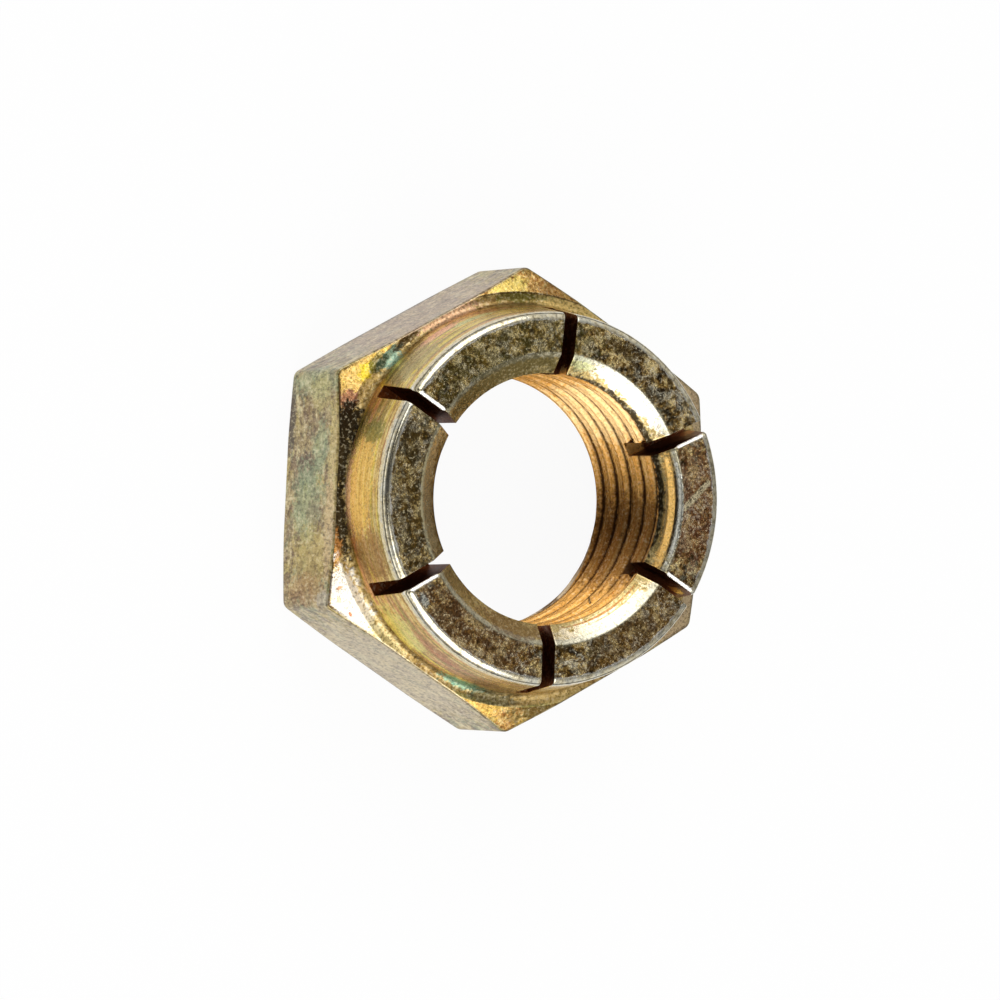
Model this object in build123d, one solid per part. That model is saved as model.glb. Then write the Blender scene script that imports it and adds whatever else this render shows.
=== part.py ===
from build123d import *
from math import cos, radians, sin, sqrt, tan
import os

# Slotted-crown lock nut, one piece of steel, for a fine 3/8 inch bolt.
# The nut lies on its bearing face: z = 0 is that face, the bolt axis is Z and the crown points up.
# All sizes are in millimetres and all angles in degrees.

# Hexagon
across_flats = 14.0
corner_round = 0.3            # rolled edge between two wrench flats
hexagon_height = 4.25         # from the bearing face to the shelf round the collar
top_cone_start = 0.16         # the top corners are coned from this far outside the flats' middles
top_cone_angle = 24.0         # fall of the top corners
bearing_cone_start = 0.12     # the same on the bearing side
bearing_cone_angle = 16.0     # rise of the corners on the bearing side

# Collar, which the slots divide into the crown
shelf_width = 0.29            # from the middle of a flat in to the collar's foot
collar_rise = 2.59            # height of the collar above the shelf
collar_lean_angle = 8.3       # the outside narrows upwards: turned as a cone and then bent in
collar_foot_fillet = 0.25
crown_rim_round = 0.25

# Bore: the plain wall stands at the crests of the thread, which is not cut here
bore_radius = 4.36
entry_depth = 1.41            # lead-in countersink on the bearing side
entry_cone_angle = 30.0       # between its wall and the axis
bevel_width = 0.61            # bevel inside the top of the crown, measured outwards from the bore
bevel_angle = 54.0            # between its wall and the axis

# Slots: saw cuts through the collar near each corner of the hexagon
slot_width = 0.48
slot_depth = 2.05             # from the top of the crown
slot_angles = (26.4, 86.4, 149.6, 210.7, 271.0, 329.7)   # as cut, not quite evenly spaced
segment_bend_angle = 2.0      # inward bend of the segments, from the slot floors up

# Worked out from the sizes above
flat_radius = across_flats / 2
corner_reach = across_flats / sqrt(3)                    # radius to a corner before it is rolled
crown_height = hexagon_height + collar_rise
slot_floor_height = crown_height - slot_depth
clear = across_flats                                     # cutters reach past the nut by this much


def arc_middle(center, radius, angle):
    """Point of a circle in the half plane of a turned profile."""
    return (center[0] + radius * cos(radians(angle)), center[1] + radius * sin(radians(angle)))


def turned_blank():
    """The round form that a lathe gives the nut: both coned ends, the shelf and the leaning collar."""
    lean = tan(radians(collar_lean_angle))
    # Bearing side and top of the corners
    bearing_radius = flat_radius + bearing_cone_start
    bearing_rise = (corner_reach - bearing_radius) * tan(radians(bearing_cone_angle))
    turned_radius = flat_radius + top_cone_start
    top_fall = (corner_reach - turned_radius) * tan(radians(top_cone_angle))
    top_corner = (corner_reach, hexagon_height - top_fall)
    # Foot of the collar
    foot = (flat_radius - shelf_width, hexagon_height + collar_foot_fillet)
    foot_center = (foot[0] + collar_foot_fillet, foot[1])
    shelf_end = (foot_center[0], hexagon_height)
    # Rim of the crown: an arc that runs on from the leaning wall and ends level on the top
    rim_height = crown_height - crown_rim_round * (1 - sin(radians(collar_lean_angle)))
    rim = (foot[0] - (rim_height - foot[1]) * lean, rim_height)
    rim_center = (rim[0] - crown_rim_round * cos(radians(collar_lean_angle)), crown_height - crown_rim_round)
    rim_middle = arc_middle(rim_center, crown_rim_round, (90 + collar_lean_angle) / 2)
    rim_top = (rim_center[0], crown_height)
    with BuildPart() as blank:
        with BuildSketch(Plane.XZ):
            with BuildLine():
                Polyline((0, 0), (bearing_radius, 0), (corner_reach, bearing_rise))
                Polyline((corner_reach, bearing_rise), top_corner, (turned_radius, hexagon_height), shelf_end)
                ThreePointArc(shelf_end, arc_middle(foot_center, collar_foot_fillet, 225), foot)
                Line(foot, rim)
                ThreePointArc(rim, rim_middle, rim_top)
                Polyline(rim_top, (0, crown_height), (0, 0))
            make_face()
        revolve(axis=Axis.Z)
    return blank.part


def hexagon():
    """Six wrench flats with rolled corners, as tall as the crown. Two flats face along X."""
    with BuildPart() as bar:
        with BuildSketch():
            RegularPolygon(flat_radius, 6, major_radius=False, rotation=30)
            fillet(vertices(), corner_round)
        extrude(amount=crown_height)
    return bar.part


def bore_cutter():
    """Entry countersink, straight bore, the slightly closed bore of the bent segments, and the bevel."""
    entry_radius = bore_radius + entry_depth * tan(radians(entry_cone_angle))
    bevel_radius = bore_radius + bevel_width
    bend = tan(radians(segment_bend_angle))
    bevel_slope = tan(radians(bevel_angle))
    bevel_depth = (bevel_width + slot_depth * bend) / (bevel_slope + bend)
    closed_radius = bore_radius - (slot_depth - bevel_depth) * bend
    with BuildPart() as cutter:
        with BuildSketch(Plane.XZ):
            with BuildLine():
                Polyline(
                    (0, -clear),
                    (entry_radius, -clear),
                    (entry_radius, 0),
                    (bore_radius, entry_depth),
                    (bore_radius, slot_floor_height),
                    (closed_radius, crown_height - bevel_depth),
                    (bevel_radius, crown_height),
                    (bevel_radius, crown_height + clear),
                    (0, crown_height + clear),
                    (0, -clear),
                )
            make_face()
        revolve(axis=Axis.Z)
    return cutter.part


def slot_cutter(angle):
    """One saw cut, from the axis out through the collar and down to the slot floor."""
    blade = Box(clear, slot_width, clear, align=(Align.MIN, Align.CENTER, Align.MIN))
    return Rot(0, 0, angle) * Pos(0, 0, slot_floor_height) * blade


def lock_nut():
    nut = hexagon() & turned_blank()
    nut -= bore_cutter()
    for angle in slot_angles:
        nut -= slot_cutter(angle)
    return nut


os.makedirs("parts", exist_ok=True)
export_step(lock_nut(), "parts/lock_nut.step")
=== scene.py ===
from math import asin, atan2, cos, degrees, pi, radians, sin, sqrt, tan

import bmesh
import bpy
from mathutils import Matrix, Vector


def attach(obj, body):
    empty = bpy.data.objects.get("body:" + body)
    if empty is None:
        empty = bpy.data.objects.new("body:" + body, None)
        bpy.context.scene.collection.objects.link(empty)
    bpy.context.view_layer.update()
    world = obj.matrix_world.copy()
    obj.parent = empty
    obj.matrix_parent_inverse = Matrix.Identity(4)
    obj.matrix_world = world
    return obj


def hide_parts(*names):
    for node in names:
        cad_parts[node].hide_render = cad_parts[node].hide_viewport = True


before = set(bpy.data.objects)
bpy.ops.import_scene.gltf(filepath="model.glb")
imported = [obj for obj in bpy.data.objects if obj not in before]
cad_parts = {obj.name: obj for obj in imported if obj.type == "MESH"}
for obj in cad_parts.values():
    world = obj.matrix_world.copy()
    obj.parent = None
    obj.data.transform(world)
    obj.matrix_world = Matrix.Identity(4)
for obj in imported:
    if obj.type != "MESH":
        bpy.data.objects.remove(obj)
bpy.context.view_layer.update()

mm = 0.001

# The nut's sizes, in millimetres and degrees

nut = {
    "acrossFlats": 14.0,
    "cornerRound": 0.30,  # rolled edge between two wrench flats
    "edgeRound": 0.10,  # softness of the hexagon's other edges
    "hexagonHeight": 4.25,
    "topConeStart": 7.16,
    "topConeAngle": 24.0,
    "bearingConeStart": 7.12,
    "bearingConeAngle": 16.0,
    "footRadius": 6.71,
    "footFillet": 0.25,
    "leanAngle": 8.3,  # the collar's wall narrows upwards
    "crownHeight": 6.84,
    "rimRound": 0.25,
    "boreRadius": 4.36,  # crests of the thread
    "boreEdge": 0.05,
    "entryDepth": 1.41,
    "entryAngle": 30.0,
    "bevelWidth": 0.61,
    "bevelAngle": 54.0,
    "sharpAngle": 38.0,  # edges that turn by more look sharp
    "edgeSteps": (1, 4, 4, 2),  # how finely each form is divided, from here on
    "firstRow": 0.07,  # distance of a face's first row from its edge
    "secondRow": 2.4,  # how many times as far the second row is
    "filletSteps": 6,
    "wallSteps": 10,
    "rimSteps": 8,
    "topSteps": 6,
    "bevelSteps": 8,
    "boreRows": 150,
    "entrySteps": 24,
    "segmentSteps": 46,
}

slots = {
    "width": 0.48,
    "depth": 2.05,
    "deeper": (0.34, 0.0, 0.0, 0.0, 0.0, 0.0),  # how much further down each cut goes
    "angles": (26.4, 86.4, 149.6, 210.7, 271.0, 329.7),
    "bendAngle": 2.0,  # how far the saw-cut segments are bent in
    "wornSides": (-1, 0, -1, 1, 0, 1),  # which side of each slot has its edge rubbed round, if any
    "wornEdge": (0.10, 0.07),  # width and depth of such an edge
    "wornHalf": 0.205,  # distance of its foot from the middle of the slot
    "sharpEdge": (0.02, 0.02),
    "edgeCurve": ((0.0, 1.0), (0.12, 0.68), (0.75, 0.10), (1.0, 0.0)),  # from its foot out, in shares
    "edgeWear": (0.45, 1.6),  # how worn the edges look, sharp and rubbed
    "acrossSteps": 6,
    "floorSteps": 8,
    "gathering": 0.55,  # how much closer the columns of points stand beside a slot
}

thread = {
    "pitch": 1.0583,  # 24 threads to the inch, right-hand
    "rootRadius": 4.76,
    "crestShare": 0.44,  # of one pitch
    "flankShare": 0.22,
    "startHeight": 3.09,  # lower edge of a crest on the +X side
    "runOutStart": 6.02,  # the last groove fades out below the bevel
    "runOutEnd": 6.24,
    "tornEdge": 0.004,
    "tornGrain": 0.3125,
    "seed": 4.0,
}

flatRadius = nut["acrossFlats"] / 2
slotFloor = nut["crownHeight"] - slots["depth"]
bendSlope = tan(radians(slots["bendAngle"]))
entryRadius = nut["boreRadius"] + nut["entryDepth"] * tan(radians(nut["entryAngle"]))


# Section of the nut: points (radius, height), the zone that starts there, and how worn the point is;
# a negative number marks an edge with dirt along it

def hexagonReach(angle):
    fromFlat = radians((degrees(angle) + 30) % 60 - 30)
    cornerCentre = (flatRadius - nut["cornerRound"]) / cos(pi / 6)
    if abs(fromFlat) <= atan2(cornerCentre * 0.5, flatRadius):
        return flatRadius / cos(fromFlat)
    fromCorner = pi / 6 - abs(fromFlat)
    aside = cornerCentre * sin(fromCorner)
    return cornerCentre * cos(fromCorner) + sqrt(nut["cornerRound"] ** 2 - aside ** 2)


def meet(first, second):
    # where two lines cross; a line is (normal r, normal z, offset)
    turn = first[0] * second[1] - first[1] * second[0]
    return ((first[2] * second[1] - first[1] * second[2]) / turn,
            (first[0] * second[2] - first[2] * second[0]) / turn)


def arc(centre, radius, start, end, steps):
    turns = [radians(start + (end - start) * step / steps) for step in range(steps + 1)]
    return [(centre[0] + radius * cos(turn), centre[1] + radius * sin(turn)) for turn in turns]


def between(start, end, steps):
    return [(start[0] + (end[0] - start[0]) * step / steps, start[1] + (end[1] - start[1]) * step / steps)
            for step in range(1, steps)]


def softCorner(before, corner, after, size):
    corner = Vector(corner)
    toBefore = (Vector(before) - corner).normalized() * size
    toAfter = (Vector(after) - corner).normalized() * size
    return [tuple(corner + toBefore), tuple(corner + (toBefore + toAfter) * 0.27), tuple(corner + toAfter)]


def row(points, zone, wear=0.0):
    return [(r, z, zone, wear) for r, z in points]


def span(start, end, steps, zone, wearStart=0.0, wearEnd=0.0):
    # rows between two points, gathered near the ends so that worn edges stay narrow
    length = (Vector(end) - Vector(start)).length
    first = min(nut["firstRow"], length * 0.12) / max(length, 1e-9)
    second = nut["secondRow"] * first
    shares = [(first, 0.5 * wearStart), (second, 0.0)]
    shares += [(second + (1 - 2 * second) * step / steps, 0.0) for step in range(1, steps)]
    shares += [(1 - second, 0.0), (1 - first, 0.5 * wearEnd)]
    return [(start[0] + (end[0] - start[0]) * share, start[1] + (end[1] - start[1]) * share, zone, wear)
            for share, wear in shares]


def boreAt(height):
    return nut["boreRadius"] - max(0.0, height - slotFloor) * bendSlope


def hexagonRows(angle):
    # bearing face, wrench flat and coned corners: this part changes round the nut
    edge = nut["edgeRound"]
    facing = (-90.0, nut["bearingConeAngle"] - 90.0, 0.0, 90.0 - nut["topConeAngle"], 90.0)
    through = ((0, 0), (nut["bearingConeStart"], 0), (hexagonReach(angle), 0),
               (nut["topConeStart"], nut["hexagonHeight"]), (0, nut["hexagonHeight"]))
    lines = []
    for direction, point in zip(facing, through):
        r, z = cos(radians(direction)), sin(radians(direction))
        lines.append((r, z, r * point[0] + z * point[1] - edge))
    centres = [meet(lines[i], lines[i + 1]) for i in range(4)]
    if centres[1][0] < centres[0][0]:   # the flat's middle lies inside the bearing cone
        centres[0] = centres[1] = meet(lines[0], lines[2])
    if centres[3][0] > centres[2][0]:   # and inside the top cone
        centres[2] = centres[3] = meet(lines[2], lines[4])
    arcs = []
    for i, steps in enumerate(nut["edgeSteps"]):
        arcs.append(arc(centres[i], edge, facing[i], facing[i + 1], steps))
    start = (entryRadius + edge, 0.0)
    rows = row([start], "bearing", 0.5) + span(start, arcs[0][0], 4, "bearing", 0.5, 0.5)
    rows += row(arcs[0], "corner", 0.6) + span(arcs[0][-1], arcs[1][0], 2, "corner")
    rows += row(arcs[1], "flat", 0.3) + span(arcs[1][-1], arcs[2][0], 5, "flat", 0.3, 1.0)
    rows += row(arcs[2][:-1], "flat", 0.2) + row(arcs[2][-1:], "corner", -1.0)
    rows += span(arcs[2][-1], arcs[3][0], 4, "corner", -1.4, 0.0) + row(arcs[3], "shelf", 0.2)
    return rows


def turnedRows():
    # collar, crown, bevel, bore and countersink: the same all round
    lean = radians(nut["leanAngle"])
    foot = (nut["footRadius"], nut["hexagonHeight"] + nut["footFillet"])
    top, floor = nut["crownHeight"], slotFloor
    wallAt = lambda height: foot[0] - (height - foot[1]) * tan(lean)
    rimStart = top - nut["rimRound"] * (1 - sin(lean))
    rimCentre = (wallAt(rimStart) - nut["rimRound"] * cos(lean), top - nut["rimRound"])
    fillet = arc((foot[0] + nut["footFillet"], foot[1]), nut["footFillet"], 270, 180, nut["filletSteps"])
    rim = arc(rimCentre, nut["rimRound"], nut["leanAngle"], 90, nut["rimSteps"])
    bevelSlope = tan(radians(nut["bevelAngle"]))
    bevelDepth = (nut["bevelWidth"] + slots["depth"] * bendSlope) / (bevelSlope + bendSlope)
    bevelTop = (nut["boreRadius"] + nut["bevelWidth"], top)
    boreTop = (boreAt(top - bevelDepth), top - bevelDepth)
    wallFloor, boreFloor = (wallAt(floor), floor), (boreAt(floor), floor)
    entryTop, entryFoot = (nut["boreRadius"], nut["entryDepth"]), (entryRadius, 0.0)
    upper = round(nut["boreRows"] * (boreTop[1] - floor) / (boreTop[1] - entryTop[1]))
    rows = row(fillet[:-1], "shelf") + row([foot] + between(foot, wallFloor, 2) + [wallFloor], "wall")
    rows += row(between(wallFloor, rim[0], nut["wallSteps"]), "wall")
    rows += row(rim[:-1], "rim", 1.0) + row(rim[-1:], "top", 1.0)
    rows += span(rim[-1], bevelTop, nut["topSteps"], "top", 1.0, 0.5)[:-1]
    rows += row(softCorner(rim[-1], bevelTop, boreTop, nut["boreEdge"]), "bevel", 0.5)
    rows += span(bevelTop, boreTop, nut["bevelSteps"], "bevel", 0.5, 0.4)[1:]
    rows += row([boreTop] + between(boreTop, boreFloor, upper) + [boreFloor], "bore")
    rows += row(between(boreFloor, entryTop, nut["boreRows"] - upper), "bore") + row([entryTop], "entry", 0.3)
    rows += row(between(entryTop, entryFoot, nut["entrySteps"])[:-1], "entry")
    rows += row([(entryRadius - 0.03, 0.052)], "bearing", 0.5)
    return rows


# Columns of points round the nut; those beside a slot keep to the flat face that the saw left. Where the
# crown is rubbed, a column's rubbedOffset and rubbedSink take the place of its offset and sink.

def edgeColumns(number, side):
    # the edge of one slot: side 1 turns the way angles grow, side -1 the other way
    angle, half = slots["angles"][number], slots["width"] / 2
    wide, deep = slots["sharpEdge"]
    worn = slots["wornSides"][number] == side
    rubbedHalf = slots["wornHalf"] if worn else half
    rubbedWide, rubbedDeep = slots["wornEdge"] if worn else slots["sharpEdge"]
    return [{"slot": angle, "of": number, "offset": side * (half + wide * across), "sink": deep * down,
             "rubbedOffset": side * (rubbedHalf + rubbedWide * across), "rubbedSink": rubbedDeep * down,
             "gap": False, "wear": slots["edgeWear"][worn], "number": number if across == 0 else None}
            for across, down in slots["edgeCurve"]]


def makeColumns():
    columns = []
    for number, angle in enumerate(slots["angles"]):
        following = slots["angles"][(number + 1) % 6] + (360 if number == 5 else 0)
        before, after = edgeColumns(number, -1), edgeColumns(number, 1)
        columns += reversed(before)
        for step in range(1, slots["acrossSteps"]):
            first, last = before[0]["offset"], after[0]["offset"]
            across = first + (last - first) * step / slots["acrossSteps"]
            columns.append({"slot": angle, "of": number, "number": number, "offset": across, "sink": 0.0,
                            "gap": True, "wear": 0.0})
        columns += after
        aside = after[-1]["rubbedOffset"]
        ahead = edgeColumns((number + 1) % 6, -1)[-1]["rubbedOffset"]
        for step in range(1, nut["segmentSteps"]):
            share = step / nut["segmentSteps"]
            share -= slots["gathering"] * sin(2 * pi * share) / (2 * pi)
            columns.append({"from": angle, "aside": aside, "to": following, "ahead": ahead, "share": share,
                            "sink": 0.0, "gap": False, "wear": 0.0, "number": None})
    return columns


def columnAngle(column, radius, rubbed=False):
    if "slot" in column:
        offset = column["rubbedOffset"] if rubbed and not column["gap"] else column["offset"]
        return radians(column["slot"]) + asin(offset / radius)
    start = radians(column["from"]) + asin(column["aside"] / radius)
    end = radians(column["to"]) + asin(column["ahead"] / radius)
    return start + (end - start) * column["share"]


def sawEnds(heights, shift, wallFloor, boreFloor, deeper):
    # the rows at which one cut's floor leaves the collar's wall and the bore
    away = lambda r: abs(heights[r - shift] - (slotFloor - deeper))
    return min(range(shift, wallFloor + 1), key=away), min(range(boreFloor, shift + len(heights)), key=away)


def turnBlank(columns):
    # the whole skin of the nut, still without the slots' own faces and without thread
    turned = turnedRows()
    count = len(hexagonRows(0.0)) + len(turned)
    heights = [z for r, z, zone, wear in turned]
    shift = count - len(turned)
    wallFloor = shift + heights.index(slotFloor)
    boreFloor = count - 1 - heights[::-1].index(slotFloor)
    ends = [sawEnds(heights, shift, wallFloor, boreFloor, deeper) for deeper in slots["deeper"]]
    points, turnedRadius, wear, tapped, held, index = [], [], [], [], [], {}
    for c, column in enumerate(columns):
        section = hexagonRows(columnAngle(column, flatRadius)) + turned
        outer, inner = ends[column["of"]] if "of" in column else (wallFloor, boreFloor)
        for r in range(count):
            above = outer < r < inner
            if column["gap"] and above:
                continue
            radius, height, zone, worn = section[r]
            rubbed = above and zone in ("rim", "top")
            angle = columnAngle(column, min(radius, flatRadius), rubbed)
            out = Vector((radius, height))
            sink = column.get("rubbedSink", 0.0) if rubbed else column["sink"]
            if above and sink:
                along = Vector(section[r + 1][:2]) - Vector(section[r - 1][:2])
                out -= Vector((along.y, -along.x)).normalized() * sink
            index[r, c] = len(points)
            points.append(Vector((out.x * cos(angle), out.x * sin(angle), out.y)) * mm)
            turnedRadius.append(radius * mm)
            edgeWear = column["wear"] if rubbed else min(column["wear"], slots["edgeWear"][0])
            wear.append(max(worn, edgeWear) if above else worn)
            tapped.append(zone in ("bevel", "bore", "entry"))
            held.append(zone == "bevel" or r in (outer, inner) or height < 0.1)
    faces, zones = [], []
    zoneOf = [zone for r, z, zone, worn in hexagonRows(0.0) + turned]
    for c, column in enumerate(columns):
        c2 = (c + 1) % len(columns)
        sawn = None not in (column["number"], columns[c2]["number"])
        outer, inner = ends[column["number"]] if sawn else (count, count)
        for r in range(count):
            r2 = (r + 1) % count
            if outer <= r < inner:
                continue
            faces.append((index[r, c], index[r, c2], index[r2, c2], index[r2, c]))
            zones.append(zoneOf[r])
    mesh = bpy.data.meshes.new("lock_nut_body")
    mesh.from_pydata(points, [], faces)
    addValues(mesh, "turnedRadius", "FLOAT", "POINT", turnedRadius)
    addValues(mesh, "wear", "FLOAT", "POINT", wear)
    addValues(mesh, "tapped", "BOOLEAN", "POINT", tapped)
    addValues(mesh, "held", "BOOLEAN", "POINT", held)
    addValues(mesh, "zone", "INT", "FACE", [zoneNames.index(name) for name in zones])
    return mesh, index, ends


def addValues(mesh, name, kind, domain, values):
    mesh.attributes.new(name, kind, domain).data.foreach_set("value", values)


# Thread, cut by a Geometry Nodes tree

def link(tree, source, target):
    tree.links.new(source, target)


def addNode(tree, kind, inputs=None, **settings):
    # the kind of a shader node is given without the word ShaderNode
    node = tree.nodes.new(kind if "Node" in kind else "ShaderNode" + kind)
    for name, value in settings.items():
        setattr(node, name, value)
    for key, value in (inputs or {}).items():
        if hasattr(value, "is_output"):
            link(tree, value, node.inputs[key])
        else:
            node.inputs[key].default_value = value
    return node


def calculate(tree, operation, *values, clamp=False):
    operation = {"+": "ADD", "-": "SUBTRACT", "*": "MULTIPLY", "/": "DIVIDE"}.get(operation, operation)
    inputs = dict(enumerate(values))
    return addNode(tree, "Math", operation=operation, use_clamp=clamp, inputs=inputs).outputs[0]


def vectorMath(tree, operation, *values):
    return addNode(tree, "VectorMath", operation=operation, inputs=dict(enumerate(values)))


def combine(tree, x=0.0, y=0.0, z=0.0):
    return addNode(tree, "CombineXYZ", inputs={0: x, 1: y, 2: z}).outputs[0]


def mapRange(tree, value, low, high, first, last, kind="SMOOTHSTEP"):
    inputs = {0: value, 1: low, 2: high, 3: first, 4: last}
    return addNode(tree, "MapRange", interpolation_type=kind, inputs=inputs).outputs[0]


def blend(tree, share, first, second):
    return addNode(tree, "Mix", data_type="RGBA", inputs={0: share, 6: first, 7: second}).outputs[2]


def ramp(tree, value, stops):
    node = addNode(tree, "ValToRGB", inputs={0: value})
    elements = node.color_ramp.elements
    elements[0].position, elements[0].color = stops[0]
    elements[1].position, elements[1].color = stops[-1]
    for position, colour in stops[1:-1]:
        elements.new(position).color = colour
    return node.outputs[0]


def addObject(name, data):
    made = bpy.data.objects.new(name, data)
    bpy.context.scene.collection.objects.link(made)
    return made


def emptyTree(owner):
    owner.use_nodes = True
    owner.node_tree.nodes.clear()
    return owner.node_tree


def threadTree(settings):
    # pushes the tapped skin outwards along a helix; whatever the drill already cut deeper is left alone
    tree = bpy.data.node_groups.new("cutThread", "GeometryNodeTree")
    sockets = tree.interface
    for side in ("OUTPUT", "INPUT"):
        sockets.new_socket("Geometry", in_out=side, socket_type="NodeSocketGeometry")
    for name in settings:
        sockets.new_socket(name, in_out="INPUT", socket_type="NodeSocketFloat")
    sockets.new_socket("Finish", in_out="INPUT", socket_type="NodeSocketMaterial")
    given = addNode(tree, "NodeGroupInput").outputs
    place = addNode(tree, "GeometryNodeInputPosition").outputs[0]
    x, y, z = addNode(tree, "SeparateXYZ", inputs={0: place}).outputs

    def do(operation, *values, clamp=False):
        return calculate(tree, operation, *values, clamp=clamp)

    def stored(name, kind="FLOAT"):
        node = addNode(tree, "GeometryNodeInputNamedAttribute", data_type=kind, inputs={"Name": name})
        return node.outputs[0]

    def mark(geometry, name, value):
        return addNode(tree, "GeometryNodeStoreNamedAttribute", data_type="FLOAT", domain="POINT", inputs={
            "Geometry": geometry, "Name": name, "Value": value}).outputs[0]

    turn = do("/", do("ARCTAN2", y, x), 2 * pi)

    def phaseAt(height):
        climb = do("/", do("-", height, given["Start Height"]), given["Pitch"])
        return do("FRACT", do("-", climb, turn))

    # rows close to an edge of the thread are pulled onto it, so that the edges come out clean
    phase = phaseAt(z)
    edges = (0.0, given["Crest Share"], do("+", given["Crest Share"], given["Flank Share"]),
             do("-", 1.0, given["Flank Share"]))
    pull = 0.0
    for edge in edges:
        away = do("*", do("WRAP", do("-", phase, edge), 0.5, -0.5), given["Pitch"])
        near = do("LESS_THAN", do("ABSOLUTE", away), given["Row Reach"])
        pull = do("+", do("*", away, near), pull)
    pull = do("*", pull, do("-", stored("held"), 1.0))
    torn = addNode(tree, "TexNoise", noise_dimensions="4D", inputs={
        "Vector": place, "W": given["Seed"], "Scale": 1 / (thread["tornGrain"] * mm), "Detail": 3.0})
    tearing = do("*", do("-", torn.outputs[0], 0.5), given["Torn Edge"])
    phase = phaseAt(do("+", z, pull))
    opening = do("/", do("-", phase, given["Crest Share"]), given["Flank Share"])
    closing = do("/", do("-", 1.0, phase), given["Flank Share"])
    fade = mapRange(tree, z, given["Run Out Start"], given["Run Out End"], 1.0, 0.0)
    share = do("*", do("MINIMUM", opening, closing, clamp=True), fade)
    depth = do("-", given["Root Radius"], given["Crest Radius"])
    above = do("MAXIMUM", do("-", z, given["Bend Height"]), 0.0)
    crest = do("-", given["Crest Radius"], do("*", above, given["Bend Slope"]))
    radius = do("+", do("+", crest, do("*", share, depth)), tearing)
    push = do("MAXIMUM", do("-", radius, stored("turnedRadius")), 0.0)
    outward = vectorMath(tree, "NORMALIZE", combine(tree, x, y)).outputs[0]
    sideways = addNode(tree, "VectorMath", operation="SCALE", inputs={0: outward, "Scale": push})
    offset = vectorMath(tree, "ADD", sideways.outputs[0], combine(tree, z=pull)).outputs[0]
    tapped = stored("tapped", "BOOLEAN")
    moved = addNode(tree, "GeometryNodeSetPosition", inputs={
        "Geometry": given["Geometry"], "Selection": tapped, "Offset": offset}).outputs[0]
    # how deep in the groove each point lies, for the finish, and how far up from the lower lip of a crest, in
    # shares of the pitch
    plain = do("*", do("-", 1.0, fade), given["Crest Share"])
    climb = do("+", do("*", phase, fade), plain)
    marked = mark(mark(moved, "groove", do("*", share, tapped)), "climb", climb)
    real = addNode(tree, "GeometryNodeRealizeInstances", inputs={"Geometry": marked}).outputs[0]
    finished = addNode(tree, "GeometryNodeSetMaterial", inputs={
        "Geometry": real, "Selection": tapped, "Material": given["Finish"]}).outputs[0]
    addNode(tree, "NodeGroupOutput", inputs={"Geometry": finished})
    return tree


def cutThread(blank, finish):
    settings = {
        "Pitch": thread["pitch"] * mm, "Crest Radius": nut["boreRadius"] * mm,
        "Root Radius": thread["rootRadius"] * mm, "Crest Share": thread["crestShare"],
        "Flank Share": thread["flankShare"], "Start Height": thread["startHeight"] * mm,
        "Run Out Start": thread["runOutStart"] * mm, "Run Out End": thread["runOutEnd"] * mm,
        "Bend Height": slotFloor * mm, "Bend Slope": bendSlope,
        "Row Reach": 0.5 * (nut["crownHeight"] - nut["entryDepth"]) / nut["boreRows"] * mm,
        "Torn Edge": thread["tornEdge"] * mm, "Seed": thread["seed"],
    }
    tree = threadTree(settings)
    modifier = blank.modifiers.new("thread", "NODES")
    modifier.node_group = tree
    values = {**settings, "Finish": finish}
    for item in tree.interface.items_tree:
        if item.in_out == "INPUT" and item.name in values:
            modifier[item.identifier] = values[item.name]
    evaluated = blank.evaluated_get(bpy.context.evaluated_depsgraph_get())
    mesh = bpy.data.meshes.new_from_object(evaluated)
    blank.modifiers.remove(modifier)
    return mesh


# Slots: the saw's floor and the two flat faces of each cut

def sawSlots(mesh, columns, index, ends):
    work = bmesh.new()
    work.from_mesh(mesh)
    points = list(work.verts)
    zone = work.faces.layers.int["zone"]
    sawn = zoneNames.index("slot")
    for number, (firstRow, lastRow) in enumerate(ends):
        across = [c for c, column in enumerate(columns) if column["number"] == number]
        grid = [[points[index[firstRow, c]] for c in across]]
        inner = [points[index[lastRow, c]] for c in across]
        for step in range(1, slots["floorSteps"]):
            share = step / slots["floorSteps"]
            grid.append([work.verts.new(outer.co.lerp(end.co, share)) for outer, end in zip(grid[0], inner)])
        grid.append(inner)
        made = []
        for line, nextLine in zip(grid, grid[1:]):
            for k in range(len(across) - 1):
                made.append(work.faces.new((line[k], line[k + 1], nextLine[k + 1], nextLine[k])))
        for end, c in ((0, across[0]), (-1, across[-1])):
            outline = [points[index[r, c]] for r in range(firstRow, lastRow + 1)]
            outline += [line[end] for line in reversed(grid[1:-1])]
            wall = work.faces.new(outline if end else list(reversed(outline)))
            made += bmesh.ops.triangulate(work, faces=[wall])["faces"]
        for cut in made:
            cut[zone] = sawn
    bmesh.ops.remove_doubles(work, verts=work.verts, dist=0.0004 * mm)
    bmesh.ops.dissolve_degenerate(work, edges=work.edges, dist=0.0001 * mm)
    bmesh.ops.recalc_face_normals(work, faces=work.faces)
    finished = bpy.data.meshes.new("lock_nut_skin")
    work.to_mesh(finished)
    openEdges = sum(1 for edge in work.edges if not edge.is_manifold)
    print("slots sawn; open edges:", openEdges, "faces:", len(work.faces))
    work.free()
    return finished


# Finishes

zoneNames = ["bearing", "corner", "flat", "shelf", "wall", "rim", "top", "bevel", "bore", "entry", "slot"]


def shown(red, green, blue):
    # a colour as it is seen on a screen, 0 to 255, turned into the values that a shader takes
    def linear(value):
        value /= 255
        return value / 12.92 if value <= 0.04045 else ((value + 0.055) / 1.055) ** 2.4
    return (linear(red), linear(green), linear(blue), 1.0)


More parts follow.
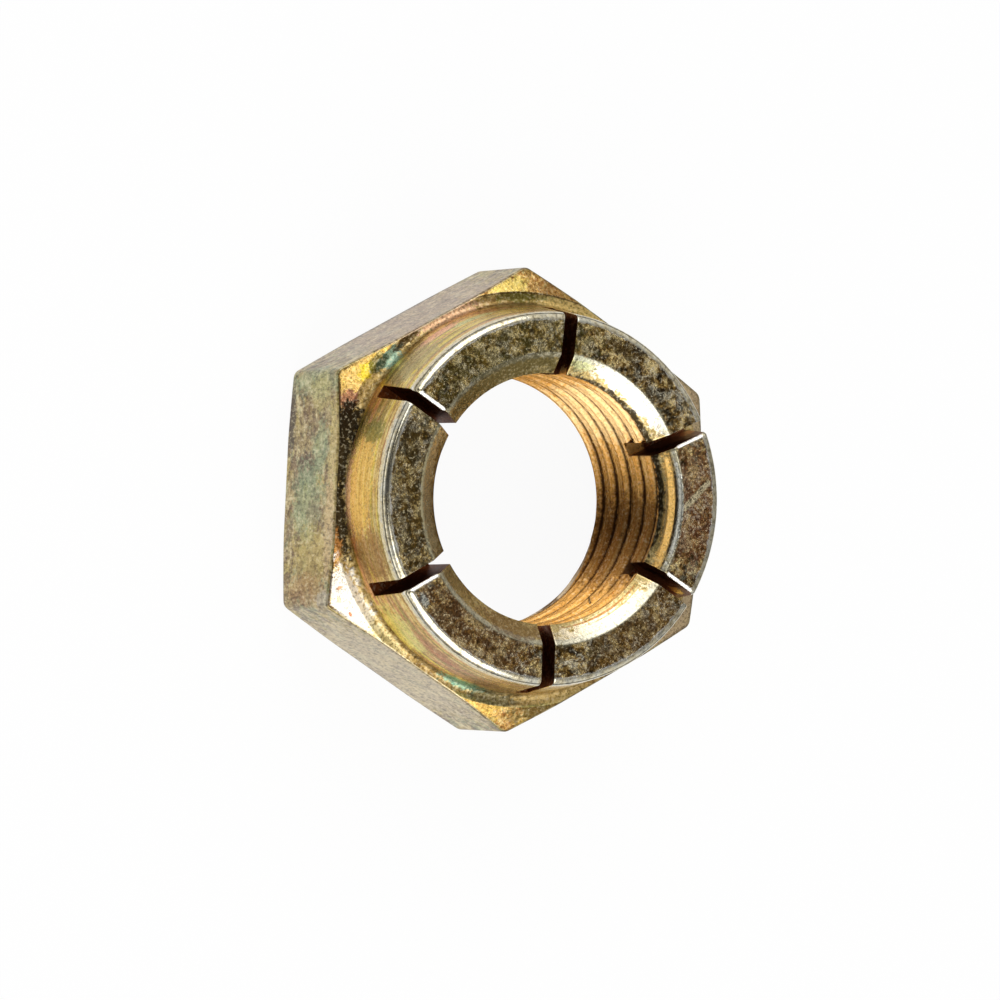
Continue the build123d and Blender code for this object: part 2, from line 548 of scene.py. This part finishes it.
plating = {
    # what all the finishes share
    "speckSize": 0.085,
    "reliefDepth": 0.03,
    "darkSpeck": (54, 40, 20),
    "paleSpeck": (238, 224, 188),
    "web": (226, 220, 198),
    # painted shade for the thread's grooves and the lips of its crests
    "grooveShade": (50, 25, 8),
    "rubbed": (212, 210, 202),
    "rubbedBare": (255, 251, 242),
    "dirt": (40, 30, 16),
}

finishes = {
    # colours run from dark to light, contrast pushes them apart, and mottle is the size of their clouds in
    # millimetres, of which ringShare follows the marks of turning; tints are colour, size and strength
    # webs: strength of pale veins; flecks: strengths of dark and pale specks, taller when drawn is below 1
    # grit: fine bumps; metal: how metallic; wear: strengths of rubbed and of bare edges
    # lean: how far parts of the surface are taken to face up the axis, or down it when it is below 0
    "bearing": {"colours": ((120, 100, 64), (170, 148, 100), (206, 188, 146)), "ringShare": 0.6},
    "corner": {"colours": ((134, 80, 30), (220, 168, 92), (250, 224, 156)), "mottle": 0.16, "grit": 0.6,
               "roughness": 0.28, "contrast": 1.3, "flecks": (0.5, 0.24),
               "tints": (((236, 204, 96), 0.5, 0.5), ((120, 104, 50), 0.4, 0.5))},
    "flat": {"colours": ((98, 76, 44), (176, 154, 104), (222, 206, 158)), "roughness": 0.34, "contrast": 1.3,
             "flecks": (0.52, 0.4), "drawn": 0.45,
             "tints": (((156, 172, 134), 0.8, 0.45), ((196, 174, 96), 0.7, 0.55),
                       ((116, 88, 66), 0.55, 0.65))},
    "shelf": {"colours": ((94, 70, 32), (200, 168, 100), (248, 226, 168)), "mottle": 0.22, "ringShare": 0.25,
              "roughness": 0.46, "grit": 0.15, "contrast": 1.2, "flecks": (0.6, 0.36),
              "tints": (((150, 160, 90), 0.7, 0.5), ((120, 84, 44), 0.5, 0.5))},
    "wall": {"colours": ((142, 101, 49), (213, 176, 103), (250, 229, 159)), "mottle": 0.45, "ringShare": 0.62,
             "roughness": 0.26, "contrast": 1.4, "flecks": (0.35, 0.2),
             "tints": (((236, 214, 84), 0.7, 0.7), ((222, 150, 112), 0.6, 0.6), ((128, 118, 56), 0.7, 0.6))},
    "rim": {"colours": ((168, 156, 126), (238, 226, 192), (255, 250, 228)), "mottle": 0.26, "roughness": 0.15,
            "grit": 0.12, "contrast": 1.1, "flecks": (0.4, 0.4), "tints": (((202, 206, 200), 0.5, 0.5),),
            "wear": None},
    "top": {"colours": ((32, 20, 2), (142, 108, 46), (236, 210, 146)), "mottle": 0.42, "grit": 1.0,
            "roughness": 0.2, "contrast": 1.9, "webs": 0.9, "flecks": (0.82, 0.5),
            "tints": (((186, 184, 158), 0.45, 0.35), ((56, 40, 8), 0.6, 0.8))},
    "bevel": {"colours": ((124, 104, 56), (184, 160, 102), (224, 208, 156)), "mottle": 0.3, "ringShare": 0.5,
              "roughness": 0.24, "flecks": (0.4, 0.3), "lean": -0.32, "wear": (0.2, 0.2)},
    "bore": {"colours": ((176, 112, 44), (218, 160, 80), (246, 208, 138)), "mottle": 0.3, "ringShare": 0.85,
             "grit": 0.7, "roughness": 0.3, "metal": 0.92, "lean": (2.0, 0.8), "wear": None,
             "flecks": (0.35, 0.3)},
    "entry": {"colours": ((130, 110, 86), (184, 162, 132), (220, 206, 178)), "ringShare": 0.7},
    # the slots' faces are coloured far darker than the plating: painted shade in the narrow cuts
    "slot": {"colours": ((60, 25, 9), (104, 52, 20), (150, 88, 38)), "mottle": 0.3, "roughness": 0.4,
             "metal": 1.0, "wear": None, "flecks": (0.4, 0.2)},
}

# Patches that the photograph shows: the finishes they lie on, the place (direction round the nut in degrees,
# distance from the axis, height), the reach (along, outwards, upwards), the colour and how strong it is
tall = 9.0
allRound = 60.0
patches = (
    # left wrench flat, and the two beside it
    ("flat", (120, 7, 2.1), (5, 2, 6), (188, 162, 140), 0.62),
    ("flat", (240, 7, 2.1), (5, 2, 6), (212, 196, 164), 0.66),
    ("flat", (152, 7.9, 2.3), (0.9, 1, 2.6), (150, 168, 128), 0.45),
    ("flat", (155, 7.7, 2.7), (0.9, 1, 1.4), (206, 192, 118), 0.45),
    ("flat", (158.4, 7.5, 1.7), (0.7, 1, 0.6), (112, 76, 52), 0.45),
    ("flat", (161, 7.4, 0.35), (2.2, 1, 0.45), (70, 58, 48), 0.8),
    ("flat", (168.9, 7.1, 2.9), (1.6, 1, 0.8), (150, 172, 132), 0.45),
    ("flat", (174, 7, 1.7), (0.9, 1, 1), (98, 78, 66), 0.6),
    ("flat", (-176, 7, 1.9), (2.2, 1, 1.6), (154, 176, 132), 0.5),
    ("flat", (-173, 7, 2.4), (0.7, 1, 0.7), (134, 108, 78), 0.4),
    ("flat", (-161, 7.4, 2.5), (2, 1, 2.4), (196, 170, 86), 0.5),
    ("flat", (-153.4, 7.8, 2.2), (0.8, 1, 2.4), (168, 122, 70), 0.55),
    ("flat", (172, 7.1, 3.9), (3.4, 1, 0.55), (214, 192, 124), 0.6),
    ("flat", (-168, 7.1, 3.8), (3, 1, 0.6), (214, 184, 140), 0.6),
    ("flat", (-151.5, 8, 3.6), (0.4, 1, 0.9), (190, 184, 168), 0.6),
    ("flat", (120, 7, 0.12), (5, 2, 0.3), (92, 80, 68), 0.75),
    ("flat", (240, 7, 0.05), (5, 2, 0.2), (120, 110, 92), 0.6),
    # corners and the shelf behind the left flat
    ("corner", (150, 7.5, 4.1), (1.6, 0.7, 1), (246, 204, 112), 0.6),
    ("corner shelf", (146, 7.25, 4.2), (0.6, 0.35, 1), (236, 206, 40), 0.8),
    ("corner shelf", (155.6, 7.3, 4.2), (0.7, 0.5, 1), (170, 110, 88), 0.85),
    # painted shade, dark on the corner and the shelf behind the left flat
    ("corner shelf", (161.5, 7.1, 4.2), (1.3, 0.8, 0.9), (26, 18, 8), 0.98),
    ("shelf", (172, 6.95, 4.25), (2.3, 0.6, 0.34), (44, 34, 16), 0.96),
    ("shelf", (189, 6.95, 4.25), (2.5, 0.6, 0.34), (40, 30, 14), 0.95),
    ("corner shelf", (196, 7.2, 4.2), (0.9, 0.35, 0.5), (226, 158, 84), 0.7),
    # painted highlight, white on the corner at 210 degrees where the light blows it out
    ("corner shelf", (212, 7.4, 4.2), (2.4, 0.9, 1), (252, 244, 228), 0.85),
    ("corner shelf", (226, 7.1, 4.2), (1.3, 0.5, 1), (236, 220, 160), 0.6),
    ("shelf wall", (138.6, 6.95, 4.3), (0.9, 0.4, 0.5), (146, 190, 170), 0.8),
    ("shelf corner", (142.5, 7.1, 4.2), (0.7, 0.4, 0.5), (50, 62, 28), 0.8),
    ("shelf wall", (131, 6.95, 4.3), (1.1, 0.25, 0.5), (66, 46, 22), 0.85),
    ("shelf wall", (116, 6.88, 4.3), (1.9, 0.35, 0.5), (226, 178, 144), 0.7),
    ("shelf wall", (72, 6.85, 4.3), (2.4, 0.6, 0.7), (244, 208, 130), 0.65),
    ("shelf wall", (-76, 6.85, 4.3), (2.2, 0.6, 0.7), (226, 192, 120), 0.45),
    ("shelf wall", (94, 7, 4.3), (1.3, 0.35, 0.5), (100, 98, 30), 0.75),
    ("shelf wall", (-107, 6.75, 4.5), (1.3, 0.45, 0.5), (140, 196, 168), 0.8),
    ("shelf", (-97, 6.95, 4.3), (1.6, 0.4, 0.5), (84, 88, 66), 0.65),
    ("corner", (-102, 7.35, 4.2), (1.8, 0.6, 1), (250, 200, 104), 0.6),
    ("corner", (-78, 7.3, 4.2), (2.2, 0.8, 1), (96, 84, 40), 0.75),
    ("corner", (78, 7.3, 4.2), (2, 0.8, 1), (140, 96, 46), 0.6),
    ("corner", (97, 7.4, 4.2), (1.2, 0.6, 1), (250, 226, 120), 0.6),
    ("corner", (0, 7.5, 4.1), (12, 1.6, 1.4), (252, 226, 184), 0.72),
    # collar wall
    ("wall", (178, 6.6, 5.2), (3.2, 1, 1.3), (250, 196, 88), 0.62),
    ("wall shelf", (180, 6.75, 4.6), (2.6, 1, 0.22), (206, 146, 122), 0.6),
    ("wall", (162.5, 6.55, 5.5), (0.6, 1, 1), (116, 114, 40), 0.7),
    ("wall", (200, 6.5, 5.7), (1.3, 1, 1.3), (150, 108, 54), 0.7),
    ("wall", (124.5, 6.65, 5), (1.5, 1, 0.35), (248, 186, 156), 0.75),
    ("wall", (113.5, 6.6, 5.3), (1.3, 1, 0.3), (206, 216, 150), 0.75),
    ("wall", (104, 6.6, 4.9), (1.3, 1, 0.4), (168, 104, 70), 0.6),
    ("wall", (136, 6.6, 5.6), (1.6, 1, 1.1), (176, 162, 116), 0.6),
    ("wall", (226, 6.6, 5), (1.8, 1, 1), (230, 226, 136), 0.6),
    ("wall", (237, 6.5, 5.7), (1.8, 1, 0.5), (178, 116, 78), 0.65),
    ("wall", (252, 6.6, 5.3), (1.6, 1, 0.9), (158, 112, 76), 0.6),
    ("wall", (180, 6.5, 6.52), (allRound, 1, 0.13), (236, 222, 180), 0.9),
    ("corner shelf", (93, 7.14, 4.2), (6.5, 0.05, tall), (74, 50, 20), 0.75),
    ("corner", (-150, 7.6, 4.1), (0.22, 0.1, 1), (236, 176, 120), 0.6),
    ("corner", (-153, 7.45, 4.1), (0.08, 0.14, 1), (214, 140, 70), 0.7),
    ("corner", (-145.5, 7.5, 4.1), (0.1, 0.06, 1), (204, 100, 34), 0.85),
    # top faces: rubbed pale along both edges, browner on the right
    ("top", (0, 6.34, 6.84), (allRound, 0.24, tall), (206, 202, 180), 0.7),
    ("top", (0, 4.9, 6.84), (allRound, 0.26, tall), (168, 162, 130), 0.5),
    ("top", (0, 5.6, 6.84), (3.3, 2.5, tall), (138, 88, 56), 0.55),
    ("top", (-121, 5.6, 6.84), (3.8, 2.5, tall), (120, 82, 46), 0.5),
    ("top", (110, 5.6, 6.84), (5.4, 2.5, tall), (104, 98, 40), 0.4),
    ("top", (-50, 5.6, 6.84), (3, 2.5, tall), (112, 80, 38), 0.5),
    ("top", (180, 5.6, 6.84), (4.4, 2.5, tall), (78, 64, 24), 0.55),
    ("top", (-141.5, 5.98, 6.84), (0.42, 0.2, tall), (206, 210, 200), 0.7),
    # bevel: white where the light blows it out, a painted highlight; gold on the right; dark at its foot,
    # painted shade
    ("bevel", (53, 4.84, 6.7), (3.1, 0.58, tall), (252, 243, 224), 0.97),
    ("bevel", (79, 4.78, 6.7), (0.75, 0.35, tall), (200, 204, 150), 0.8),
    ("bevel", (-61, 4.84, 6.7), (3.6, 0.6, tall), (250, 234, 200), 0.97),
    ("bevel", (-57, 4.44, 6.5), (2.4, 0.05, tall), (164, 104, 36), 0.85),
    ("bevel", (-52, 4.56, 6.5), (1.7, 0.035, tall), (206, 150, 70), 0.7),
    ("bevel", (-2, 4.66, 6.6), (3.6, 0.34, tall), (255, 204, 116), 0.95),
    ("bevel", (0, 4.93, 6.8), (allRound, 0.17, tall), (190, 190, 172), 0.65),
    ("bevel", (-2, 4.9, 6.8), (2.6, 0.16, tall), (240, 240, 228), 0.85),
    ("bevel", (-2, 4.515, 6.6), (2.2, 0.04, tall), (200, 176, 130), 0.6),
    ("bevel", (-2, 4.8, 6.7), (3, 0.06, tall), (58, 44, 24), 0.92),
    ("bevel", (115, 4.65, 6.6), (4.2, 0.6, tall), (92, 82, 38), 0.78),
    ("bevel", (180, 4.75, 6.6), (3.8, 0.5, tall), (254, 238, 186), 0.9),
    ("bevel", (-105, 4.65, 6.6), (2.2, 0.5, tall), (120, 84, 46), 0.6),
    # painted shade along the foot of the bevel
    ("bevel", (28, 4.33, 6.4), (6.2, 0.2, tall), (36, 26, 12), 0.97),
    ("bevel", (180, 4.28, 6.36), (7, 0.08, tall), (84, 52, 22), 0.85),
    # painted shade on one side of the bore and a painted reflection, paler gold, on the other
    ("bore", (-17, 4.4, 4.4), (2.8, 1.4, 6), (104, 60, 22), 0.6),
    ("bore", (48, 4.4, 4.4), (2.2, 1.4, 6), (255, 230, 176), 0.38),
    # painted shade in the turn of thread just under the bevel
    ("bore", (28, 4.36, 6.6), (5.2, 0.9, 0.62), (40, 24, 10), 0.97),
    # what shows of the slots' ends
    ("wall shelf", (151.3, 6.75, 4.68), (0.62, 0.5, 0.34), (198, 148, 114), 0.7),
    ("wall shelf", (209.6, 6.75, 4.62), (0.55, 0.5, 0.28), (226, 172, 122), 0.6),
    # painted light in the slots: a painted glint, a lit floor end by the bore, a lit triangle of wall and a
    # lit far wall
    ("slot", (332, 6.12, 5.78), (0.9, 0.36, 0.5), (255, 210, 84), 0.98),
    ("slot", (26.4, 4.62, 4.45), (1, 0.55, 0.2), (226, 172, 92), 0.97),
    ("slot", (83.3, 4.42, 6.1), (0.8, 0.36, 0.36), (255, 218, 136), 0.98),
    ("slot", (24.2, 6.4, 5.3), (0.7, 0.5, 0.6), (196, 134, 80), 0.85),
)

# Ridges that the tool rolled up on the right of the bevel: place and reach, as for patches
bevelRidges = (
    ((-2, 4.66, 6.6), (3.6, 0.15, tall)),
    ((-2, 4.94, 6.8), (3.6, 0.12, tall)),
)

# Scratches: the finishes they cross, where they start and end (direction, distance, height), width and colour
scratches = (
    ("top", (-0.6, 5.07, 6.84), (8.3, 5.98, 6.84), 0.135, (222, 208, 168)),
    ("bore", (-54, 4.4, 4.84), (-46, 4.4, 3.77), 0.07, (30, 16, 6)),
    ("wall", (181, 6.6, 4.95), (178.5, 6.6, 4.85), 0.04, (110, 66, 20)),
    ("wall", (188, 6.6, 5.1), (184, 6.6, 4.9), 0.03, (116, 72, 24)),
)


def placeOf(direction, radius, height):
    return (radius * cos(radians(direction)), radius * sin(radians(direction)), height)


class Paint:
    # short names for the shader nodes of one material; places are in millimetres
    def __init__(self, name):
        self.material = bpy.data.materials.new(name)
        self.tree = emptyTree(self.material)
        place = self.add("TexCoord").outputs["Object"]
        scale = (1 / mm, 1 / mm, 1 / mm)
        self.place = self.add("Mapping", inputs={"Vector": place, "Scale": scale}).outputs[0]
        x, y, self.height = self.add("SeparateXYZ", inputs={0: self.place}).outputs
        self.radius = self.do("SQRT", self.do("+", self.do("*", x, x), self.do("*", y, y)))
        self.turn = self.do("ARCTAN2", y, x)
        # marks of the turning tool run round the axis
        across = self.do("*", self.do("+", self.radius, self.do("*", self.height, 1.7)), 6.0)
        self.around = combine(self.tree, self.do("*", x, 0.3), self.do("*", y, 0.3), across)
        self.ragged = self.do("-", self.noise(0.2, 7.0, 0.72, 0.3, seed=3.0), 0.5)

    def add(self, kind, **more):
        return addNode(self.tree, kind, **more)

    def do(self, operation, *values, clamp=False):
        return calculate(self.tree, operation, *values, clamp=clamp)

    def vector(self, operation, *values):
        return vectorMath(self.tree, operation, *values)

    def stored(self, name):
        return self.add("Attribute", attribute_name=name).outputs["Fac"]

    def noise(self, size, detail=4.0, roughness=0.6, distortion=0.0, place=None, seed=0.0):
        return self.add("TexNoise", noise_dimensions="4D", inputs={
            "Vector": place or self.place, "W": seed, "Scale": 1 / size, "Detail": detail,
            "Roughness": roughness, "Distortion": distortion}).outputs[0]

    def step(self, value, low, high):
        # 0 below low and 1 above high, eased in between; the other way round when low is the larger
        ends = (0.0, 1.0) if high > low else (1.0, 0.0)
        return mapRange(self.tree, value, min(low, high), max(low, high), *ends)

    def roughened(self, value, share):
        return self.do("+", value, self.do("*", self.ragged, share))

    def cover(self, colour, share, strength, tint):
        return blend(self.tree, self.do("*", share, strength), colour, shown(*tint))

    def patch(self, place, reach, unevenness=2.2):
        # 1 inside a patch that follows the nut's roundness, breaking up into specks towards its border
        aside = self.do("WRAP", self.do("-", self.turn, radians(place[0])), pi, -pi)
        offset = combine(self.tree, self.do("*", aside, place[1] / reach[0]),
                         self.do("/", self.do("-", self.radius, place[1]), reach[1]),
                         self.do("/", self.do("-", self.height, place[2]), reach[2]))
        away = self.vector("LENGTH", offset).outputs["Value"]
        return self.step(self.roughened(away, -unevenness), 0.78, 0.5)

    def leaning(self, share, slope):
        # the direction that the surface faces, tilted up the nut's axis
        upward = combine(self.tree, z=self.do("*", share, slope))
        turned = self.add("VectorTransform", vector_type="VECTOR", convert_from="OBJECT",
                          convert_to="WORLD", inputs={0: upward}).outputs[0]
        facing = self.add("NewGeometry").outputs["Normal"]
        return self.vector("NORMALIZE", self.vector("ADD", facing, turned).outputs[0]).outputs[0]

    def scratch(self, start, end, width):
        first, last = Vector(placeOf(*start)), Vector(placeOf(*end))
        along = last - first
        offset = self.vector("SUBTRACT", self.place, tuple(first)).outputs[0]
        dot = self.vector("DOT_PRODUCT", offset, tuple(along)).outputs["Value"]
        share = self.do("/", dot, along.length_squared, clamp=True)
        nearest = combine(self.tree, *(self.do("*", share, part) for part in along))
        away = self.vector("DISTANCE", offset, nearest).outputs["Value"]
        return self.step(self.roughened(away, width), width, width * 0.5)


def chromateColour(paint, finish):
    # clouds of three colours, tinted in patches and crossed by fine pale veins
    clouds = paint.noise(finish.get("mottle", 0.5), 7.0, 0.66, 0.25)
    ringShare = finish.get("ringShare", 0.0)
    if ringShare:
        rings = paint.do("*", paint.noise(1.0, 4.0, 0.7, 0.0, paint.around), ringShare)
        clouds = paint.do("+", rings, paint.do("*", clouds, 1 - ringShare))
    dark, middle, light = (shown(*colour) for colour in finish["colours"])
    spread = 0.16 / finish.get("contrast", 0.6)
    colour = ramp(paint.tree, clouds, [(0.5 - spread, dark), (0.5, middle), (0.5 + spread, light)])
    for number, (tint, size, strength) in enumerate(finish.get("tints", ())):
        source = paint.around if ringShare else paint.place
        field = paint.noise(size * (2.5 if ringShare else 1.0), 5.0, 0.6, 0.3, source, 10.0 + number)
        colour = paint.cover(colour, paint.step(field, 0.5, 0.6), strength, tint)
    if finish.get("webs"):
        fold = paint.do("ABSOLUTE", paint.do("-", paint.noise(0.55, 6.0, 0.7, 1.2, seed=20.0), 0.5))
        here = paint.step(paint.noise(0.8, seed=21.0), 0.45, 0.6)
        web = paint.do("*", paint.step(fold, 0.035, 0.0), here)
        colour = paint.cover(colour, web, finish["webs"], plating["web"])
    return colour


def markedColour(paint, name, colour):
    for zones, place, reach, tint, strength in patches:
        if name in zones.split():
            colour = paint.cover(colour, paint.patch(place, reach), strength, tint)
    for zones, start, end, width, tint in scratches:
        if name in zones.split():
            colour = paint.cover(colour, paint.scratch(start, end, width), 0.85, tint)
    return colour


def speckledColour(paint, finish, colour):
    darkFlecks, paleFlecks = finish.get("flecks", (0.3, 0.2))
    scale = (1, 1, finish.get("drawn", 1.0))
    drawn = paint.add("Mapping", inputs={"Vector": paint.place, "Scale": scale})
    specks = paint.noise(plating["speckSize"], 3.0, 0.62, 0.2, drawn.outputs[0], 40.0)
    colour = paint.cover(colour, paint.step(specks, 0.51, 0.36), darkFlecks, plating["darkSpeck"])
    return paint.cover(colour, paint.step(specks, 0.52, 0.66), paleFlecks, plating["paleSpeck"])


def tappedColour(paint, colour):
    # painted shade: the deep side of each groove and the lower lip of each crest are darkened, where the next
    # turn of thread shades them
    deep = paint.step(paint.roughened(paint.stored("groove"), 0.25), 0.3, 0.5)
    torn = paint.step(paint.roughened(paint.stored("climb"), 0.12), 0.13, 0.02)
    return paint.cover(colour, paint.do("MAXIMUM", deep, torn), 0.92, plating["grooveShade"])


def rubbedColour(paint, wear, colour):
    # edges rubbed pale, the most worn ones bare, and dirt along the edges that are marked with it
    edge = paint.stored("wear")
    uneven = paint.do("*", paint.do("-", paint.noise(0.5, 5.0, 0.7, seed=30.0), 0.5), 2.4)
    rubbed = paint.step(paint.do("+", paint.do("+", edge, uneven), paint.ragged), 0.6, 1.0)
    rubbed = paint.do("*", rubbed, paint.step(edge, 0.1, 0.5))
    colour = paint.cover(colour, rubbed, wear[0], plating["rubbed"])
    colour = paint.cover(colour, paint.step(edge, 1.0, 1.5), wear[1], plating["rubbedBare"])
    soiled = paint.step(paint.roughened(edge, 1.6), -0.4, -0.8)
    onLeft = paint.step(paint.do("ABSOLUTE", paint.turn), 2.5, 2.62)
    strength = paint.do("+", paint.do("*", onLeft, 0.55), 0.3)
    return paint.cover(colour, soiled, strength, plating["dirt"])


def fineRelief(paint, name, finish):
    # fine bumps, on a surface that leans where the tool rolled it over
    rough = paint.noise(0.5, 4.0, 0.7, 0.0, paint.around) if name == "bore" else paint.noise(0.1, 6.0, 0.65)
    relief = paint.add("Bump", inputs={
        "Height": rough, "Strength": finish.get("grit", 0.3), "Distance": plating["reliefDepth"] * mm})
    if name == "bevel":
        # two ridges on the right face the axis more
        ridges = [paint.patch(place, reach, 0.6) for place, reach in bevelRidges]
        link(paint.tree, paint.leaning(paint.do("MAXIMUM", *ridges), finish["lean"]), relief.inputs["Normal"])
    if name == "bore":
        # the crests face upwards a little like the flanks above them, the most at their lower lip
        slope = mapRange(paint.tree, paint.stored("climb"), 0.0, thread["crestShare"], *finish["lean"],
                         kind="LINEAR")
        crest = paint.step(paint.stored("groove"), 0.1, 0.0)
        link(paint.tree, paint.leaning(crest, slope), relief.inputs["Normal"])
    return relief.outputs[0]


def platedSteel(name, finish):
    # zinc with a yellow chromate
    paint = Paint("chromated_" + name)
    colour = speckledColour(paint, finish, markedColour(paint, name, chromateColour(paint, finish)))
    if name == "bore":
        colour = tappedColour(paint, colour)
    wear = finish.get("wear", (0.7, 0.9))
    if wear:
        colour = rubbedColour(paint, wear, colour)
    gloss = finish.get("roughness", 0.4) - 0.10
    roughness = paint.do("+", paint.do("*", paint.noise(0.3, 4.0), 0.2), gloss)
    shader = paint.add("BsdfPrincipled", inputs={
        "Base Color": colour, "Metallic": finish.get("metal", 0.95), "Roughness": roughness,
        "Normal": fineRelief(paint, name, finish)})
    paint.add("OutputMaterial", inputs={"Surface": shader.outputs[0]})
    return paint.material


def makeNut():
    finished = {name: platedSteel(name, finishes[name]) for name in zoneNames}
    print("finishes mixed:", len(finished))
    columns = makeColumns()
    blankMesh, index, ends = turnBlank(columns)
    blank = addObject("lock_nut_blank", blankMesh)
    print("blank turned:", len(blankMesh.vertices), "points")
    threaded = cutThread(blank, finished["bore"])
    print("thread cut:", len(threaded.vertices), "points")
    skin = sawSlots(threaded, columns, index, ends)
    bpy.data.objects.remove(blank)
    skin.materials.clear()
    for name in zoneNames:
        skin.materials.append(finished[name])
    zones = [0] * len(skin.polygons)
    skin.attributes["zone"].data.foreach_get("value", zones)
    skin.polygons.foreach_set("material_index", zones)
    skin.polygons.foreach_set("use_smooth", [True] * len(skin.polygons))
    skin.set_sharp_from_angle(angle=radians(nut["sharpAngle"]))
    piece = addObject("lock_nut_dressed", skin)
    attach(piece, "root")
    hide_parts("lock_nut")
    return piece


# Floor, light and camera

studio = {
    # brightness of the surroundings, from dark to light
    "above": 0.26,
    "sides": 0.7,
    "farFloor": 0.16,
    "nearFloor": 0.94,
    # a painted shadow under the bore, on the floor as the metal mirrors it
    "shadowUnderBore": 0.55,
    "photographer": 0.02,
    "mattFloor": 0.86,
    # sizes and distances in metres
    "floorReach": 0.6,
    "floorGap": 0.00002,  # between the bearing face and the floor
    "mirroredReach": 0.03,  # how far out the floor is followed as the metal mirrors it
    "lampDistance": 0.4,
}

# the floor as the metal mirrors it, from under the bore outwards, in shares of mirroredReach
floorTones = ((0.17, "shadowUnderBore"), (0.22, "nearFloor"), (0.43, "nearFloor"), (0.87, "farFloor"))

# direction and height above the floor, how far the dark shape reaches and fades out, all in degrees
photographer = {"direction": (161, 66), "reach": 18, "fade": 16}

# direction and height above the floor in degrees, width and height in metres, brightness
softboxes = {
    "frontSoftbox": (-99, 51, (0.31, 0.46), 2.2),
    "backSoftbox": (97, 48, (0.275, 0.373), 2.0),
    "leftSoftbox": (190, 14, (0.6, 0.1), 0.9),
}


def makeFloor():
    mesh = bpy.data.meshes.new("floor")
    reach = studio["floorReach"]
    sides = ((-reach, -reach), (reach, -reach), (reach, reach), (-reach, reach))
    mesh.from_pydata([(x, y, -studio["floorGap"]) for x, y in sides], [], [(0, 1, 2, 3)])
    floor = addObject("floor", mesh)
    material = bpy.data.materials.new("paleFloor")
    tree = emptyTree(material)
    path = addNode(tree, "LightPath").outputs
    # seen in the metal, the floor is darker under the bore, a painted shadow of the nut, pale near the nut,
    # and falls off towards its far edges
    place = addNode(tree, "TexCoord").outputs["Object"]
    away = vectorMath(tree, "LENGTH", place).outputs["Value"]
    share = calculate(tree, "*", away, 1 / studio["mirroredReach"])
    tones = ramp(tree, share, [(position, grey(studio[tone])) for position, tone in floorTones])
    mirrored = addNode(tree, "Emission", inputs={"Color": tones})
    plain = addNode(tree, "Emission", inputs={"Color": grey(1.0)})
    matt = addNode(tree, "BsdfDiffuse", inputs={"Color": grey(studio["mattFloor"])})
    seen = calculate(tree, "*", path["Is Camera Ray"], studio["nearFloor"])
    first = addNode(tree, "MixShader", inputs={0: seen, 1: matt.outputs[0], 2: plain.outputs[0]})
    glossy = calculate(tree, "MAXIMUM", path["Is Glossy Ray"], path["Is Transmission Ray"])
    last = addNode(tree, "MixShader", inputs={0: glossy, 1: first.outputs[0], 2: mirrored.outputs[0]})
    addNode(tree, "OutputMaterial", inputs={"Surface": last.outputs[0]})
    mesh.materials.append(material)
    print("floor laid")


def grey(value):
    return (value, value, value, 1.0)


def towards(turn, rise):
    return Vector((cos(turn) * cos(rise), sin(turn) * cos(rise), sin(rise)))


def makeWorld():
    world = bpy.data.worlds.new("studio")
    bpy.context.scene.world = world
    tree = emptyTree(world)
    direction = addNode(tree, "TexCoord").outputs["Generated"]
    sideways = addNode(tree, "SeparateXYZ", inputs={0: direction}).outputs["Y"]
    tones = [(0.15, grey(studio["above"])), (0.65, grey(studio["sides"]))]
    surroundings = ramp(tree, calculate(tree, "ABSOLUTE", sideways), tones)
    # the photographer stands dark above the nut, on its left
    middle = towards(*(radians(angle) for angle in photographer["direction"]))
    facing = vectorMath(tree, "DOT_PRODUCT", direction, tuple(middle)).outputs["Value"]
    rim = cos(radians(photographer["reach"] + photographer["fade"]))
    covered = mapRange(tree, facing, rim, cos(radians(photographer["reach"])), 0.0, 1.0)
    shaded = blend(tree, covered, surroundings, grey(studio["photographer"]))
    path = addNode(tree, "LightPath").outputs
    mixed = blend(tree, path["Is Camera Ray"], shaded, grey(1.0))
    background = addNode(tree, "Background", inputs={"Color": mixed})
    addNode(tree, "OutputWorld", inputs={"Surface": background.outputs[0]})
    print("surroundings made")


def addSoftbox(name, direction, elevation, size, brightness):
    data = bpy.data.lights.new(name, "AREA")
    data.shape = "RECTANGLE"
    data.size, data.size_y = size
    data.energy = brightness * pi * size[0] * size[1]
    lamp = addObject(name, data)
    away = towards(radians(direction), radians(elevation))
    lamp.location = away * studio["lampDistance"]
    lamp.rotation_euler = away.to_track_quat("Z", "Y").to_euler()
    print("lamp hung:", name)


def makeCamera():
    data = bpy.data.cameras.new("camera")
    data.lens, data.sensor_width = view["lens"], view["sensor"]
    data.clip_start, data.clip_end = view["clip"]
    camera = addObject("camera", data)
    camera.location = view["place"]
    camera.rotation_euler = [radians(angle) for angle in view["turn"]]
    bpy.context.scene.camera = camera
    print("camera placed")


view = {
    # above the nut and a little to its left; place and clip in metres, lens and sensor in millimetres
    "place": (-0.105537, -0.007304, 0.221400),
    "turn": (0.4687, -25.8041, 2.8761),
    "lens": 252.0,
    "sensor": 36.0,
    "clip": (0.01, 5.0),
}

piece = makeNut()
makeFloor()
makeWorld()
for name, settings in softboxes.items():
    addSoftbox(name, *settings)
makeCamera()
bpy.context.scene.view_settings.view_transform = "Standard"

bpy.context.view_layer.update()
